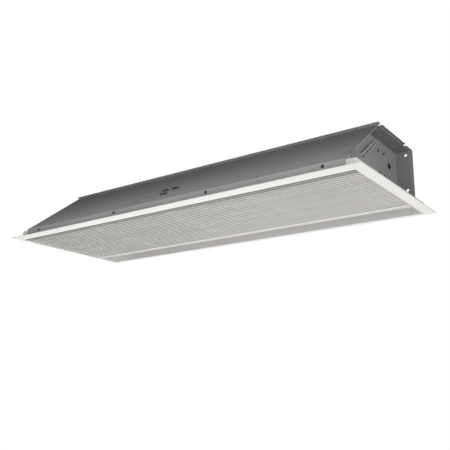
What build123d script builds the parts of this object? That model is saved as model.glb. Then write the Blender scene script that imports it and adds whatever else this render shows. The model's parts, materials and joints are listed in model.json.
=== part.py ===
from build123d import *
import math
import os

# Recessed air curtain, in millimetres.
# X runs along the length, Y across it from the intake side (-Y) to the discharge side (+Y), Z up.
# The origin is the centre of the trim frame's opening, level with the lowest edge of its lip.

# Trim frame: four mitred extrusions with a sloping flange and an upstand
frame_length = 1180.0
frame_width = 450.0
flange_width = 25.0
flange_drop = 3.8
flange_wall = 1.8
rim_width = 4.0
lip_step = 0.5
upstand_wall = 2.0
upstand_top = 27.0
hook_notch_y = 152.0
hook_notch = 6.0
key_leg = 32.0
key_wall = 1.8
key_height = 15.0
key_bottom = 3.0

# Sheet casing
sheet = 1.2
bend = 1.0
casing_end_inset = 45.0
casing_top = 184.2
skirt_bottom = 15.5
slope_foot = 30.0
slope_head_y = -8.0
top_lip = 8.0
corner_round = 4.0
end_recess = 48.0
pan_flange = 39.0
relief_width = 12.5
near_relief_depth = 14.0
far_relief_depth = 8.0
near_relief_y = -4.0
far_relief_y = 157.0
clipped_corner = 3.0

# Fixings
screw_r = 2.0
screw_head_r = 4.0
screw_head = 2.4
screw_clearance = 0.05
skirt_screw_z = 22.3
skirt_screw_pitch = 326.0
end_flange_hole_r = 4.0
end_flange_hole_edge = 18.5
end_flange_hole_z = 71.0
end_flange_hole_rise = 99.0
top_slot_width = 12.0
top_slot_length = 34.0
top_slot_past_fan = 42.0
top_slot_edge = 27.0
rivet_r = 1.6
rivet_head_r = 3.0
rivet_head = 1.2
slope_rivet_setback = 35.7
slope_rivet_pitch = 400.0
insert_past_fan = 50.0
insert_z = 130.0
insert_bore_r = 3.4
insert_body_r = 5.5
insert_flange_r = 8.0
insert_length = 17.0
insert_end = 1.5

# Tie slots pressed into the sloping side
tie_slot_length = 30.0
tie_slot_width = 8.0

# Rail and corner brackets on the recessed ends
rail_offset = 45.5
rail_width = 11.5
rail_height = 10.0
rail_length = 101.0
rail_head_setback = 9.2
end_slot_past_head = 42.3
end_slot_offset = 64.0
end_slot_length = 39.0
end_slot_width = 7.0
bracket_offset = 7.0
bracket_reach = 13.0
bracket_height = 30.0
bracket_depth = 30.0
bracket_wall = 1.5

# Fan: two drums on one axis with a motor between them
fan_z = 123.0
drum_r = 46.0
blade_count = 24
blade_depth = 9.0
blade_wall = 1.2
blade_camber = 2.6
disc_wall = 2.0
drum_gap = 26.0
running_gap = 0.05
shaft_r = 4.0
stub_r = 5.0
stub_length = 24.0
hub_r = 12.0
hub_length = 15.0
motor_r = 38.0
motor_length = 90.0
motor_boss_r = 13.0
motor_boss = 8.0
fin_count = 20
fin_height = 3.0
bell_length = 20.0
hub_clearance = 9.0
ring_wall = 3.0
mount_plate = 2.0
mount_plate_r = 22.0
mount_flange = 14.0
bearing_r = 14.0
bearing_length = 10.0
housing_wall = 3.0
housing_base = 4.0
bearing_screw_y = 33.0
bearing_screw_z = 61.0

# Air ducts
duct_wall = 1.2
scroll_r = 93.4
scroll_drop = 38.0
tongue_gap = 4.5
tongue_angle = 78.0
tongue_wall_z = 56.0
divider_offset = 18.5
duct_step = 1.0
divider_wall = 2.0
divider_foot = 5.0
divider_foot_height = 3.0
nozzle_lift = 0.4
nozzle_top = 26.5
nozzle_wall = 1.6
seat_gap = 0.3
vane_chord = 26.0
vane_wall = 4.0
vane_z = 44.0
vane_pin_r = 2.5
vane_end_gap = 0.8

# Intake grille: bars along the length between two rails, hinged beside the divider
finger_gap = 9.0
grille_end_gap = 2.5
hinge_gap = 3.5
hinge_inset = 4.0
hinge_z = 5.0
hinge_pin_r = 2.0
hinge_pin_hold = 12.0
near_rail_width = 6.0
far_rail_width = 8.0
bar_bottom = 0.6
bar_height = 12.0
bar_width = 2.4
bar_pitch = 11.9
strap_width = 16.0
strap_wall = 2.0
strap_count = 5

# Magnetic catches over the grille's near rail
catch_pitch = 400.0
catch_length = 30.0
catch_wall = 1.5
catch_depth = 12.0
strike_wall = 1.1
magnet_gap = 0.3

# Wiring compartment on the left-hand end plate
box_length = 150.0
box_width = 90.0
box_height = 50.0
box_slope_gap = 2.0
box_bottom = 62.0
box_wall = 1.0
lid_rim = 8.0
gland_z = 88.0
gland_bore_r = 5.0
gland_thread_r = 10.0
gland_flat = 12.0
gland_cap_r = 12.5
gland_cap = 14.0
gland_nut = 5.0
gland_tail = 9.0
capacitor_r = 15.0
capacitor_length = 62.0
terminal_length = 72.0
terminal_width = 20.0
terminal_height = 16.0
terminal_ways = 6
terminal_screw_r = 2.2
lead_r = 3.5
lead_bend = 30.0
lead_gland_wall = 2.0
lead_gland_reach = 12.0
lead_inset = 6.0
lead_z = 104.0
clip_wall = 1.5
clip_length = 12.0

# Places that follow from the sizes above
half_length = frame_length / 2
half_width = frame_width / 2
open_x = half_length - flange_width
open_y = half_width - flange_width
upstand_in_x = open_x + lip_step
upstand_in_y = open_y + lip_step
upstand_out_x = upstand_in_x + upstand_wall
upstand_out_y = upstand_in_y + upstand_wall
flange_inset = half_width - upstand_out_y
wall_y = upstand_out_y + sheet
far_wall_in = open_y - nozzle_wall
far_duct_y = far_wall_in - duct_step
fan_y = far_duct_y - scroll_r
scroll_y = fan_y
divider_y = fan_y + divider_offset
casing_half = half_length - casing_end_inset
plate_x = casing_half - end_recess
inner_x = plate_x - sheet
top_inner = casing_top - sheet
slope_foot_at = (-wall_y, slope_foot)
slope_head_at = (slope_head_y, top_inner - sheet)
slope_run = math.dist(slope_foot_at, slope_head_at)
slope_rivet_run = slope_run - slope_rivet_setback
slope_cos = (slope_head_at[0] - slope_foot_at[0]) / slope_run
slope_sin = (slope_head_at[1] - slope_foot_at[1]) / slope_run
slope_degrees = math.degrees(math.atan2(slope_sin, slope_cos))
drum_start = motor_length / 2 + motor_boss + ring_wall + hub_clearance
drum_end = inner_x - drum_gap
scroll_z = fan_z - scroll_drop
box_near_y = slope_foot_at[0] + (box_bottom + box_height + box_slope_gap - slope_foot_at[1]) * slope_cos / slope_sin
box_near_y += sheet / slope_sin
box_y = box_near_y + box_width / 2
gland_y = box_y
lead_y = box_near_y + lead_inset
grille_near_y = -open_y + finger_gap
grille_far_y = divider_y - hinge_gap
hinge_y = grille_far_y - hinge_inset
bar_top = bar_bottom + bar_height
grille_half = open_x - grille_end_gap
nozzle_half = upstand_in_x - grille_end_gap
divider_out_y = divider_y + divider_wall
insert_y = fan_y + insert_past_fan
skirt_screw_x = [(i - 1.5) * skirt_screw_pitch for i in range(4)]
slope_rivet_x = [-slope_rivet_pitch, 0.0, slope_rivet_pitch]
catch_x = [-catch_pitch, 0.0, catch_pitch]
top_slot_x = casing_half - top_slot_edge
top_slot_y = fan_y + top_slot_past_fan
end_flange_hole_x = casing_half - end_flange_hole_edge
end_flange_hole_zs = [end_flange_hole_z, end_flange_hole_z + end_flange_hole_rise]
bearing_screws = [
    (fan_y + i * bearing_screw_y / 2, fan_z + j * bearing_screw_z / 2) for i in (-1, 1) for j in (-1, 1)
]


def slope_point(run, depth):
    """A point (y, z) at a run up the sloping side and a depth below its outer face."""
    y = slope_foot_at[0] + run * slope_cos + depth * slope_sin
    z = slope_foot_at[1] + run * slope_sin - depth * slope_cos
    return (y, z)


def slope_coordinates(y, z):
    """The run up the slope and the depth below its outer face of a point (y, z)."""
    dy = y - slope_foot_at[0]
    dz = z - slope_foot_at[1]
    return (dy * slope_cos + dz * slope_sin, dy * slope_sin - dz * slope_cos)


def slope_plane(x, run, depth=0.0):
    """A plane on the sloping side whose normal points out of the casing."""
    y, z = slope_point(run, depth)
    return Plane(origin=(x, y, z), x_dir=(1, 0, 0), z_dir=(0, -slope_sin, slope_cos))


def mirrored(shape):
    return mirror(shape, about=Plane.YZ)


def one(shape):
    """The single solid of a result."""
    solids = shape.solids()
    if len(solids) != 1:
        raise ValueError(f"expected one solid, got {len(solids)}")
    return solids[0]


def save(name, *shapes):
    """Write a node from the solids of the given shapes."""
    solids = [solid for shape in shapes for solid in shape.solids()]
    body = solids[0] if len(solids) == 1 else Compound(children=solids)
    body.label = name
    export_step(body, f"parts/{name}.step")


def outline(points):
    return make_face(Polyline(*points, close=True))


def prism(points, x0, x1):
    """A straight length along X of a (y, z) outline."""
    return extrude(Plane.YZ.offset(x0) * outline(points), x1 - x0)


def block(x, y, z):
    """A box between pairs of limits."""
    size = Box(x[1] - x[0], y[1] - y[0], z[1] - z[0])
    return Pos((x[0] + x[1]) / 2, (y[0] + y[1]) / 2, (z[0] + z[1]) / 2) * size


def rod_x(radius, x0, x1, y, z):
    """A round bar along X."""
    return Pos(0, y, z) * extrude(Plane.YZ.offset(x0) * Circle(radius), x1 - x0)


def rod_y(radius, y0, y1, x, z):
    """A round bar along Y."""
    return Pos(x, (y0 + y1) / 2, z) * Rot(90, 0, 0) * Cylinder(radius, y1 - y0)


def shifted(points, depth):
    """The path moved to its right by a depth, with mitred corners."""
    moved = []
    for i, point in enumerate(points):
        sides = []
        if i > 0:
            sides.append((points[i - 1], point))
        if i < len(points) - 1:
            sides.append((point, points[i + 1]))
        normals = []
        for start, end in sides:
            length = math.dist(start, end)
            normals.append(((end[1] - start[1]) / length, (start[0] - end[0]) / length))
        ny = sum(n[0] for n in normals) / len(normals)
        nz = sum(n[1] for n in normals) / len(normals)
        scale = depth / (ny * ny + nz * nz)
        moved.append((point[0] + ny * scale, point[1] + nz * scale))
    return moved


def shifted_loop(points, depth):
    """A counter-clockwise closed outline moved inwards by a depth."""
    extended = [points[-1], *points, points[0]]
    return shifted(extended, -depth)[1:-1]


def bent_sheet(points, x0, x1, wall=sheet):
    """A sheet along X folded to a path of its outer face, with its wall to the right of the path."""
    inside = shifted(points, wall)
    turns = []
    for i in range(1, len(points) - 1):
        a, b, c = points[i - 1], points[i], points[i + 1]
        turns.append((b[0] - a[0]) * (c[1] - b[1]) - (b[1] - a[1]) * (c[0] - b[0]))
    outer_radii = [bend if turn > 0 else bend + wall for turn in turns]
    inner_radii = [bend + wall if turn > 0 else bend for turn in turns]
    outer = FilletPolyline(*points, radius=outer_radii)
    inner = FilletPolyline(*inside, radius=inner_radii)
    ends = Curve() + Line(points[0], inside[0]) + Line(points[-1], inside[-1])
    face = make_face(outer.edges() + inner.edges() + ends.edges())
    return extrude(Plane.YZ.offset(x0) * face, x1 - x0)


def slot_cutter(plane, length, width, depth):
    """A round-ended slot through a sheet, its length along the plane's X."""
    return extrude(plane * SlotOverall(length, width), depth, both=True)


def screw(plane, shank):
    """A pan-head screw whose head stands on a plane and whose shank goes in behind it."""
    head = extrude(Circle(screw_head_r), screw_head)
    head = fillet(head.edges().group_by(Axis.Z)[-1], screw_head * 0.6)
    return plane * (head + extrude(Circle(screw_r), -shank))


def rivet(plane, shank):
    """A domed rivet through thin sheets."""
    head = extrude(Circle(rivet_head_r), rivet_head)
    head = fillet(head.edges().group_by(Axis.Z)[-1], rivet_head * 0.8)
    return plane * (head + extrude(Circle(rivet_r), -shank))


def trim_profile():
    """Flange and upstand section: first value inwards from the outer edge, second up."""
    inner_edge = flange_width
    upstand_outer = flange_inset
    upstand_inner = flange_inset + upstand_wall
    slope = flange_drop / inner_edge
    return [
        (0, flange_drop),
        (inner_edge, 0),
        (inner_edge, flange_wall - lip_step),
        (upstand_inner, flange_wall),
        (upstand_inner, upstand_top),
        (upstand_outer, upstand_top),
        (upstand_outer, flange_drop - slope * upstand_outer + flange_wall),
        (rim_width, flange_drop - slope * rim_width + flange_wall),
        (rim_width, flange_drop + flange_wall),
        (0, flange_drop + flange_wall),
    ]


def mitred(rail, corner, normal):
    """The part of a rail that lies behind a corner's mitre plane."""
    return split(rail, bisect_by=Plane(origin=corner, z_dir=normal), keep=Keep.BOTTOM)


def long_rail(side):
    """A long trim rail: side -1 is the intake side, +1 the discharge side."""
    points = [(side * (half_width - w), z) for w, z in trim_profile()]
    rail = prism(points, -half_length, half_length)
    for end in (-1, 1):
        rail = mitred(rail, (end * half_length, side * half_width, 0), (end, -side, 0))
    for x in skirt_screw_x:
        rail -= rod_y(screw_r + screw_clearance, -upstand_out_y * 2, upstand_out_y * 2, x, skirt_screw_z)
    return one(rail)


def end_rail_section(side):
    """An end trim rail: side -1 is the left end, +1 the right end."""
    points = [(side * (half_length - w), z) for w, z in trim_profile()]
    section = Plane.XZ.offset(-half_width) * outline(points)
    rail = extrude(section, frame_width)
    for end in (-1, 1):
        rail = mitred(rail, (side * half_length, end * half_width, 0), (-side, end, 0))
    notch_x = (upstand_in_x - 1, upstand_out_x + 1)
    for y in (-hook_notch_y, hook_notch_y):
        notch = block(notch_x, (y - hook_notch / 2, y + hook_notch / 2), (upstand_top - hook_notch, upstand_top + 1))
        rail -= notch if side > 0 else mirrored(notch)
    rail -= rod_x(hinge_pin_r + running_gap, -half_length, half_length, hinge_y, hinge_z)
    return one(rail)


def corner_key(side_x, side_y):
    """An angle that joins two rails inside a mitred corner."""
    z = (key_bottom, key_bottom + key_height)
    x_in = upstand_in_x - key_leg
    y_in = upstand_in_y - key_leg
    key = block((x_in, upstand_in_x), (upstand_in_y - key_wall, upstand_in_y), z)
    key += block((upstand_in_x - key_wall, upstand_in_x), (y_in, upstand_in_y), z)
    if side_x < 0:
        key = mirrored(key)
    if side_y < 0:
        key = mirror(key, about=Plane.XZ)
    return one(key)


def slope_panel():
    """Near skirt, sloping side and the lip that carries the top."""
    path = [
        (-wall_y, skirt_bottom),
        slope_foot_at,
        slope_head_at,
        (slope_head_y - top_lip, slope_head_at[1]),
    ]
    panel = bent_sheet(path, -casing_half, casing_half)
    skirt_corners = panel.edges().filter_by(Axis.Y).filter_by(lambda e: e.center().Z < skirt_bottom + 1)
    panel = fillet(skirt_corners, corner_round)
    for x in skirt_screw_x:
        panel -= rod_y(screw_r + screw_clearance, -wall_y - 1, -upstand_out_y + 1, x, skirt_screw_z)
    for x in slope_rivet_x:
        panel -= extrude(slope_plane(x, slope_rivet_run) * Circle(rivet_r), 2 * sheet, both=True)
    for x, run in tie_slots():
        panel -= slot_cutter(slope_plane(x, run), tie_slot_length, tie_slot_width, 2 * sheet)
    return one(panel)


def tie_slots():
    """Centres of the three slots pressed into the sloping side: x and run up the slope."""
    step = tie_slot_length
    return [(-step / 2, 1.5 * step), (-step, 2.6 * step), (step / 2, 2.6 * step)]


def top_cover():
    """Top and far wall, folded from one sheet."""
    path = [(slope_head_y - top_lip, casing_top), (wall_y, casing_top), (wall_y, skirt_bottom)]
    cover = bent_sheet(path, -casing_half, casing_half)
    for side in (-1, 1):
        cover -= end_reliefs(side)
        for z in end_flange_hole_zs:
            cover -= rod_y(end_flange_hole_r, wall_y - 3 * sheet, wall_y + sheet, side * end_flange_hole_x, z)
    for x in skirt_screw_x:
        cover -= rod_y(screw_r + screw_clearance, upstand_out_y - 1, wall_y + 1, x, skirt_screw_z)
    return one(cover)


def end_reliefs(side):
    """Corner reliefs and clipped corner that the top and the pan under it share."""
    near_edge = (casing_half - near_relief_depth, casing_half + 1)
    far_edge = (casing_half - far_relief_depth, casing_half + 1)
    z = (top_inner - 3 * sheet, casing_top + 1)
    cut = block(near_edge, (near_relief_y, near_relief_y + relief_width), z)
    cut += block(far_edge, (far_relief_y, far_relief_y + relief_width), z)
    clip = Pos(casing_half, 0, casing_top) * Rot(0, 45, 0) * Box(
        clipped_corner * math.sqrt(2), 2 * (wall_y + relief_width), clipped_corner * math.sqrt(2)
    )
    keep_off = block((0, half_length), (-wall_y, far_relief_y + relief_width), (0, casing_top * 2))
    cut += clip - keep_off
    return cut if side > 0 else mirrored(cut)


def pan_outline():
    """Outline of an end pan: the space inside the sheets and above the trim's upstand."""
    at_y, at_z = slope_point(0, sheet)
    slope_tan = slope_sin / slope_cos
    return [
        (at_y + (upstand_top - at_z) / slope_tan, upstand_top),
        (upstand_out_y, upstand_top),
        (upstand_out_y, top_inner),
        (at_y + (top_inner - at_z) / slope_tan, top_inner),
    ]


def folded_flange(start, end):
    """A flange folded outwards along the bend line that runs from start to end, bend included."""
    reach = bend + sheet
    length = math.dist(start, end)
    along = ((end[0] - start[0]) / length, (end[1] - start[1]) / length)
    inwards = (0, -along[1], along[0])
    plane = Plane(origin=(inner_x, *start), x_dir=inwards, z_dir=(0, *along))
    rim = plane.to_local_coords(Vector(plate_x + pan_flange, *start)).Y
    turn = 1 if rim > 0 else -1
    outside = JernArc((0, 0), (-1, 0), reach, -turn * 90)
    inside = JernArc((0, turn * sheet), (-1, 0), bend, -turn * 90)
    edges = outside.edges() + inside.edges()
    edges += Polyline(outside @ 1, (-reach, rim), (sheet - reach, rim), inside @ 1).edges()
    edges += Line(outside @ 0, inside @ 0).edges()
    return extrude(plane * make_face(edges), length)


def end_pan(side):
    """End plate with flanges folded outwards, and a foot that closes the gap over the trim."""
    bend_lines = shifted_loop(pan_outline(), bend + sheet)
    pan = prism(bend_lines, inner_x, plate_x)
    for start, end in zip(bend_lines, bend_lines[1:] + bend_lines[:1]):
        pan += folded_flange(start, end)
    foot_x = (plate_x + pan_flange - 1, upstand_out_x)
    pan += block(foot_x, (-upstand_in_y, upstand_in_y), (upstand_top, upstand_top + sheet))
    pan -= end_reliefs(1)
    slot_plane = Plane(origin=(top_slot_x, top_slot_y, top_inner - sheet), x_dir=(0, 1, 0), z_dir=(0, 0, -1))
    pan -= extrude(slot_plane * SlotOverall(top_slot_length, top_slot_width), 2 * sheet)
    pan -= extrude(slot_plane * SlotOverall(top_slot_length, top_slot_width), -sheet)
    for z in end_flange_hole_zs:
        pan -= rod_y(end_flange_hole_r, upstand_out_y - 3 * sheet, wall_y, end_flange_hole_x, z)
    through = (inner_x - 1, plate_x + 1)
    for y, z in bearing_screws:
        pan -= rod_x(screw_r + screw_clearance, *through, y, z)
    pan -= rod_x(insert_body_r, *through, insert_y, insert_z)
    for y in vane_ys():
        pan -= rod_x(vane_pin_r + running_gap, *through, y, vane_z)
    slot_y, slot_z = slope_point(slope_run + end_slot_past_head, end_slot_offset)
    slot_plane = Plane(origin=(plate_x, slot_y, slot_z), x_dir=(0, slope_cos, slope_sin), z_dir=(1, 0, 0))
    pan -= slot_cutter(slot_plane, end_slot_length, end_slot_width, 3 * sheet)
    if side > 0:
        return one(pan)
    pan -= rod_x(gland_thread_r, *through, gland_y, gland_z)
    return one(mirrored(pan))


def end_channel(side):
    """A small channel fixed to the recessed end plate, parallel to the sloping side."""
    channel = block((0, rail_height), (-rail_width / 2, rail_width / 2), (-rail_length / 2, rail_length / 2))
    channel -= block(
        (sheet, rail_height + 1), (-rail_width / 2 + sheet, rail_width / 2 - sheet), (-rail_length, rail_length)
    )
    y, z = slope_point(slope_run - rail_head_setback, rail_offset + rail_width / 2)
    channel = Pos(plate_x, y, z) * Rot(slope_degrees - 90, 0, 0) * channel
    return one(channel if side > 0 else mirrored(channel))


def corner_bracket():
    """A folded tab beside the sheet's right end, on the frame at the foot of the slope."""
    x0 = casing_half + bracket_offset
    base_z = upstand_top + sheet
    y0 = -upstand_in_y + corner_round
    foot = block((x0, x0 + bracket_reach), (y0, y0 + bracket_depth), (base_z, base_z + bracket_wall))
    y1 = y0 + bracket_depth
    top_z = base_z + bracket_height
    web = prism([(y0, base_z), (y1, base_z), (y1, top_z), (y1 - bracket_wall * 6, top_z)], x0, x0 + bracket_wall)
    web -= rod_x(screw_r, x0 - 1, x0 + bracket_wall + 1, y1 - bracket_depth * 0.25, base_z + bracket_height * 0.45)
    return one(foot + web)


def threaded_insert(side):
    """A rivet nut in the end plate, closed at its inner end."""
    body = rod_x(insert_body_r, plate_x - insert_length, plate_x, insert_y, insert_z)
    body += rod_x(insert_flange_r, plate_x, plate_x + sheet, insert_y, insert_z)
    body -= rod_x(insert_bore_r, plate_x - insert_length + insert_end, plate_x + sheet + 1, insert_y, insert_z)
    return one(body if side > 0 else mirrored(body))


def skirt_screws():
    """Screws through the skirts into the trim's upstands."""
    shank = sheet + upstand_wall + 2
    screws = []
    for x in skirt_screw_x:
        near = Plane(origin=(x, -wall_y, skirt_screw_z), x_dir=(1, 0, 0), z_dir=(0, -1, 0))
        far = Plane(origin=(x, wall_y, skirt_screw_z), x_dir=(1, 0, 0), z_dir=(0, 1, 0))
        screws.append(screw(near, shank))
        screws.append(screw(far, sheet + upstand_wall))
    return screws


def bearing_plate_screws():
    """Four screws on each end plate that hold the fan's end bearings."""
    screws = []
    for y, z in bearing_screws:
        for side in (-1, 1):
            plane = Plane(origin=(side * plate_x, y, z), x_dir=(0, 1, 0), z_dir=(side, 0, 0))
            screws.append(screw(plane, sheet + housing_base - 0.5))
    return screws


def slope_rivets():
    """Rivets that tie the scroll's tab to the sloping side."""
    return [rivet(slope_plane(x, slope_rivet_run), sheet + duct_wall) for x in slope_rivet_x]


def scroll_shell():
    """Fan scroll: a tab on the sloping side, a flat run over the drums and an arc down to the nozzle."""
    top_z = scroll_z + scroll_r + duct_wall
    depth = sheet
    tab_start = slope_point(slope_rivet_run - 3 * rivet_head_r, depth)
    head_run = (top_z - slope_foot_at[1] + depth * slope_cos) / slope_sin
    tab_end = slope_point(head_run, depth)
    outside = [tab_start, tab_end, (scroll_y, top_z)]
    inside = shifted(outside, duct_wall)
    outer_r = scroll_r + duct_wall
    foot_z = nozzle_top + seat_gap + sheet
    edges = Curve()
    edges += Polyline(*outside)
    edges += CenterArc((scroll_y, scroll_z), outer_r, 0, 90)
    edges += Line((scroll_y + outer_r, scroll_z), (scroll_y + outer_r, foot_z))
    edges += Line((scroll_y + outer_r, foot_z), (scroll_y + scroll_r, foot_z))
    edges += Line((scroll_y + scroll_r, foot_z), (scroll_y + scroll_r, scroll_z))
    edges += CenterArc((scroll_y, scroll_z), scroll_r, 0, 90)
    edges += Polyline(*inside)
    edges += Line(inside[0], outside[0])
    shell = extrude(Plane.YZ.offset(-inner_x) * make_face(edges.edges()), 2 * inner_x)
    for x in slope_rivet_x:
        shell -= extrude(slope_plane(x, slope_rivet_run) * Circle(rivet_r), 4 * sheet, both=True)
    return one(shell)


def tongue_shell():
    """The wall between intake and discharge, curled at the drum to a rounded tip."""
    reach = drum_r + tongue_gap
    angle = math.radians(tongue_angle)
    tip = (fan_y + reach * math.cos(angle), fan_z - reach * math.sin(angle))
    foot_z = nozzle_top + seat_gap + sheet
    wall_at = divider_out_y
    path = [(wall_at, foot_z), (wall_at, tongue_wall_z), tip]
    inside = shifted(path, -duct_wall)
    edges = Curve() + Polyline(*path) + Polyline(*inside)
    edges += Line(path[0], inside[0])
    edges += Line(path[-1], inside[-1])
    shell = extrude(Plane.YZ.offset(-inner_x) * make_face(edges.edges()), 2 * inner_x)
    bead = rod_x(duct_wall, -inner_x, inner_x, (tip[0] + inside[-1][0]) / 2, (tip[1] + inside[-1][1]) / 2)
    return one(shell + bead)


def divider():
    """Extruded rail between the intake grille and the discharge slot."""
    base = nozzle_lift
    points = [
        (divider_y, base),
        (divider_y + divider_foot, base),
        (divider_y + divider_foot, base + divider_foot_height * 0.6),
        (divider_out_y, base + divider_foot_height),
        (divider_out_y, nozzle_top),
        (divider_y, nozzle_top),
    ]
    return one(prism(points, -nozzle_half + nozzle_wall, nozzle_half - nozzle_wall))


def nozzle_outer_wall():
    """Far wall of the discharge slot, with a flange back to the casing."""
    base = nozzle_lift
    points = [
        (far_wall_in, base),
        (open_y, base),
        (open_y, nozzle_top - nozzle_wall),
        (upstand_in_y, nozzle_top - nozzle_wall),
        (upstand_in_y, nozzle_top),
        (far_wall_in - nozzle_wall, nozzle_top),
        (far_wall_in - nozzle_wall, nozzle_top - 2 * nozzle_wall),
    ]
    wall = prism(points, -nozzle_half + nozzle_wall, nozzle_half - nozzle_wall)
    key_x = (upstand_in_x - key_leg - seat_gap, upstand_in_x)
    key_z = (0, key_bottom + key_height + seat_gap)
    relief = block(key_x, (far_wall_in - 1, open_y + 1), key_z)
    return one(wall - relief - mirrored(relief))


def nozzle_end(side):
    """Plate that closes one end of the discharge slot."""
    plate = block(
        (nozzle_half - nozzle_wall, nozzle_half), (divider_y, far_wall_in), (nozzle_lift, nozzle_top)
    )
    return one(plate if side > 0 else mirrored(plate))


def vane_ys():
    """Pivot places of the two vanes across the discharge slot."""
    width = far_duct_y - divider_out_y
    return [divider_out_y + width / 3, divider_out_y + 2 * width / 3]


def vane(y):
    """An aerofoil vane with a pin at each end, upright at rest."""
    half = inner_x - vane_end_gap
    nose = vane_wall / 2
    z0 = vane_z - vane_chord / 2
    z1 = vane_z + vane_chord / 2
    nose_arc = ThreePointArc((y - nose, z1 - nose), (y, z1), (y + nose, z1 - nose))
    sides = Line((y + nose, z1 - nose), (y + 0.4, z0)) + Line((y - 0.4, z0), (y - nose, z1 - nose))
    face = make_face(nose_arc.edges() + sides.edges() + Line((y + 0.4, z0), (y - 0.4, z0)).edges())
    blade = extrude(Plane.YZ.offset(-half) * face, 2 * half)
    pin_z = vane_z
    pin_end = plate_x - sheet / 2
    pin_root = half - 1
    pins = rod_x(vane_pin_r, pin_root, pin_end, y, pin_z) + rod_x(vane_pin_r, -pin_end, -pin_root, y, pin_z)
    bosses = rod_x(vane_pin_r + 1.5, half - 6, half, y, pin_z) + rod_x(vane_pin_r + 1.5, -half, -half + 6, y, pin_z)
    return one(blade + bosses + pins)


def drum_blade():
    """Section of one forward-curved blade at the drum's +Y side."""
    tip = drum_r - 0.5
    root = tip - blade_depth
    a = (root, -blade_camber)
    b = ((tip + root) / 2 + blade_camber * 0.4, -blade_camber * 0.1)
    c = (tip, blade_camber)
    outer = ThreePointArc(a, b, c)
    inner = ThreePointArc((a[0], a[1] - blade_wall), (b[0] + blade_wall * 0.4, b[1] - blade_wall), (c[0], c[1] - blade_wall))
    caps = Line(a, (a[0], a[1] - blade_wall)) + Line(c, (c[0], c[1] - blade_wall))
    return make_face(outer.edges() + inner.edges() + caps.edges())


def fan_drum(side):
    """A cross-flow drum: blades between discs, a middle ring and a stub shaft at the outer end."""
    length = drum_end - drum_start
    section = Sketch() + [Rot(0, 0, i * 360 / blade_count) * drum_blade() for i in range(blade_count)]
    blades = extrude(Plane.YZ.offset(drum_start + disc_wall / 2) * section, length - disc_wall)
    inner_disc = extrude(Plane.YZ.offset(drum_start) * (Circle(drum_r) - Circle(hub_r)), disc_wall)
    outer_disc = extrude(Plane.YZ.offset(drum_end - disc_wall) * Circle(drum_r), disc_wall)
    ring_section = Circle(drum_r) - Circle(drum_r - blade_depth - 2)
    ring = extrude(Plane.YZ.offset(drum_start + length / 2 - disc_wall / 2) * ring_section, disc_wall)
    stub = extrude(Plane.YZ.offset(drum_end - disc_wall / 2) * Circle(stub_r), stub_length)
    drum = Pos(0, fan_y, fan_z) * (blades + inner_disc + outer_disc + ring + stub)
    return one(drum if side > 0 else mirrored(drum))


def drum_hub(side):
    """A clamping hub between the motor shaft and a drum's inner disc."""
    x1 = drum_start + disc_wall
    x0 = x1 - hub_length + hub_clearance - 1
    hub = rod_x(hub_r, x0, x1, fan_y, fan_z) - rod_x(shaft_r, x0 - 1, x1 + 1, fan_y, fan_z)
    return one(hub if side > 0 else mirrored(hub))


def motor_shaft():
    reach = drum_start + hub_length
    return one(rod_x(shaft_r, -reach, reach, fan_y, fan_z))


def motor_stator():
    """Finned motor body between its two end bells."""
    half = motor_length / 2 - bell_length
    body = extrude(Plane.YZ.offset(-half) * Circle(motor_r - fin_height), 2 * half)
    fin = Pos(motor_r - fin_height, 0) * Rectangle(2 * fin_height, 2.0)
    fins = Sketch() + [Rot(0, 0, i * 360 / fin_count) * fin for i in range(fin_count)]
    body += extrude(Plane.YZ.offset(-half) * fins, 2 * half)
    body -= extrude(Plane.YZ.offset(-half) * Circle(shaft_r + running_gap), 2 * half)
    return one(Pos(0, fan_y, fan_z) * body)


def motor_bell(side):
    """Cast end bell with a boss that carries the rubber ring."""
    x0 = motor_length / 2 - bell_length
    x1 = motor_length / 2
    points = [
        (x0, shaft_r + running_gap),
        (x0, motor_r),
        (x1 - bell_length * 0.35, motor_r),
        (x1, motor_boss_r + 4),
        (x1, motor_boss_r),
        (x1 + motor_boss, motor_boss_r),
        (x1 + motor_boss, shaft_r + running_gap),
    ]
    face = Plane.XY * outline(points)
    bell = Pos(0, fan_y, fan_z) * revolve(face, Axis.X)
    return one(bell if side > 0 else mirrored(bell))


def mount_ring(side):
    """Rubber ring round a motor boss."""
    x0 = motor_length / 2 + 0.5
    x1 = motor_length / 2 + motor_boss
    ring = rod_x(motor_boss_r + ring_wall, x0, x1, fan_y, fan_z) - rod_x(motor_boss_r, x0 - 1, x1 + 1, fan_y, fan_z)
    return one(ring if side > 0 else mirrored(ring))


def motor_hanger(side):
    """Plate that clamps a rubber ring and hangs from the scroll's flat top."""
    x0 = motor_length / 2 + 1.5
    x1 = x0 + mount_plate
    top_z = scroll_z + scroll_r
    left = fan_y - 2 * mount_plate_r
    ears = [
        (left, top_z),
        (fan_y, top_z),
        (fan_y + mount_plate_r, fan_z),
        (fan_y, fan_z - mount_plate_r),
        (fan_y - mount_plate_r, fan_z),
        (left, top_z - mount_plate_r),
    ]
    plate = prism(ears, x0, x1) + rod_x(mount_plate_r, x0, x1, fan_y, fan_z)
    plate += block((x0, x0 + mount_flange), (left, fan_y), (top_z - mount_plate, top_z))
    plate -= rod_x(motor_boss_r + ring_wall, x0 - 1, x1 + 1, fan_y, fan_z)
    return one(plate if side > 0 else mirrored(plate))


def end_bearing(side):
    """Plain rubber-backed bearing for a drum's stub shaft."""
    x0 = drum_end + disc_wall
    x1 = x0 + bearing_length
    ring = rod_x(bearing_r, x0, x1, fan_y, fan_z) - rod_x(stub_r + running_gap, x0 - 1, x1 + 1, fan_y, fan_z)
    return one(ring if side > 0 else mirrored(ring))


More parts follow.
